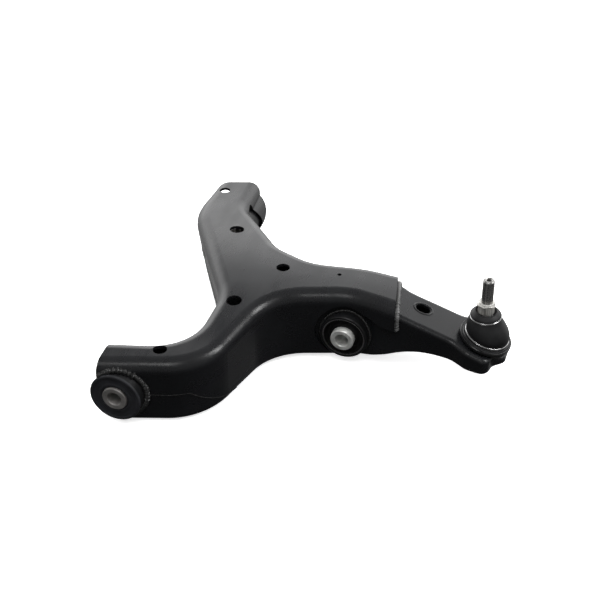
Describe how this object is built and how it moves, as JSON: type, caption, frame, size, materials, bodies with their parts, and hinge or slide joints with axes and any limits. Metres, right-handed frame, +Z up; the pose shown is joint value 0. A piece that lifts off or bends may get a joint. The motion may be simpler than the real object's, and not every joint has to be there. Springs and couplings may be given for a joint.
{
  "type": "suspension control arm",
  "caption": "Welded pressed-steel lower control arm with two coaxial pivot bushes, a strut bush in its outer leg and a booted ball joint at its tip.",
  "frame": {"origin": "on the front pivot bush's bore axis, at the mouth of the bush (the face of its rubber flange)", "axes": "+Y along the pivot bores towards the rear bush, +X out towards the ball joint, +Z up along the ball stud"},
  "size_m": [0.3848, 0.3784, 0.1185],
  "materials": {
    "black_paint": "satin black electrocoat",
    "housing_steel": "satin black coat",
    "bush_steel": "dull grey steel",
    "zinc_steel": "machined zinc-grey steel",
    "alloy": "bright turned aluminium",
    "stud_steel": "bright zinc plate",
    "ring_steel": "bright spring wire",
    "bush_rubber": "matt black rubber",
    "boot_rubber": "satin black rubber",
    "race_plastic": "natural bearing plastic"
  },
  "bodies": {
    "arm": {"upper_shell": "black_paint", "lower_shell": "black_paint", "outer_extension": "black_paint", "front_tube": "black_paint", "front_outer_sleeve": "bush_steel", "front_rubber": "bush_rubber", "rear_tube": "black_paint", "rear_outer_sleeve": "bush_steel", "rear_rubber": "bush_rubber", "strut_tube": "black_paint", "strut_outer_sleeve": "bush_steel", "strut_rubber": "bush_rubber", "ball_joint_housing": "housing_steel", "housing_cap": "housing_steel", "ball_race": "race_plastic", "dust_boot": "boot_rubber", "boot_lower_ring": "ring_steel", "front_weld": "black_paint", "strut_weld": "black_paint", "extension_weld": "black_paint"},
    "front_sleeve": {"front_inner_sleeve": "zinc_steel"},
    "rear_sleeve": {"rear_inner_sleeve": "zinc_steel"},
    "strut_sleeve": {"strut_inner_sleeve": "alloy"},
    "liner": {"ball_liner": "race_plastic"},
    "boot_neck": {"boot_neck_insert": "bush_steel", "boot_upper_ring": "ring_steel"},
    "stud": {"ball_stud": "stud_steel"}
  },
  "joints": [
    {"name": "front_bush_twist", "type": "hinge", "parent": "arm", "child": "front_sleeve", "pos_m": [0, 0.0255, 0], "axis": [0, 1, 0], "range_deg": [-22, 22], "stiffness_Nm_per_rad": 20},
    {"name": "rear_bush_twist", "type": "hinge", "parent": "arm", "child": "rear_sleeve", "pos_m": [0, 0.34425, 0], "axis": [0, 1, 0], "range_deg": [-22, 22], "stiffness_Nm_per_rad": 20},
    {"name": "strut_bush_twist", "type": "hinge", "parent": "arm", "child": "strut_sleeve", "pos_m": [0.1835, 0.203, -0.0015], "axis": [0, 1, 0], "range_deg": [-18, 18], "stiffness_Nm_per_rad": 20},
    {"name": "ball_rock", "type": "hinge", "parent": "arm", "child": "liner", "pos_m": [0.325, 0.196, 0.0063], "axis": [1, 0, 0], "range_deg": [-15, 15], "deforming": ["dust_boot"]},
    {"name": "ball_swing", "type": "hinge", "parent": "liner", "child": "boot_neck", "pos_m": [0.325, 0.196, 0.0063], "axis": [0, 1, 0], "range_deg": [-5, 39], "deforming": ["dust_boot"]},
    {"name": "stud_spin", "type": "hinge", "parent": "boot_neck", "child": "stud", "pos_m": [0.325, 0.196, 0.0063], "axis": [0, 0, 1], "continuous": true}
  ]
}
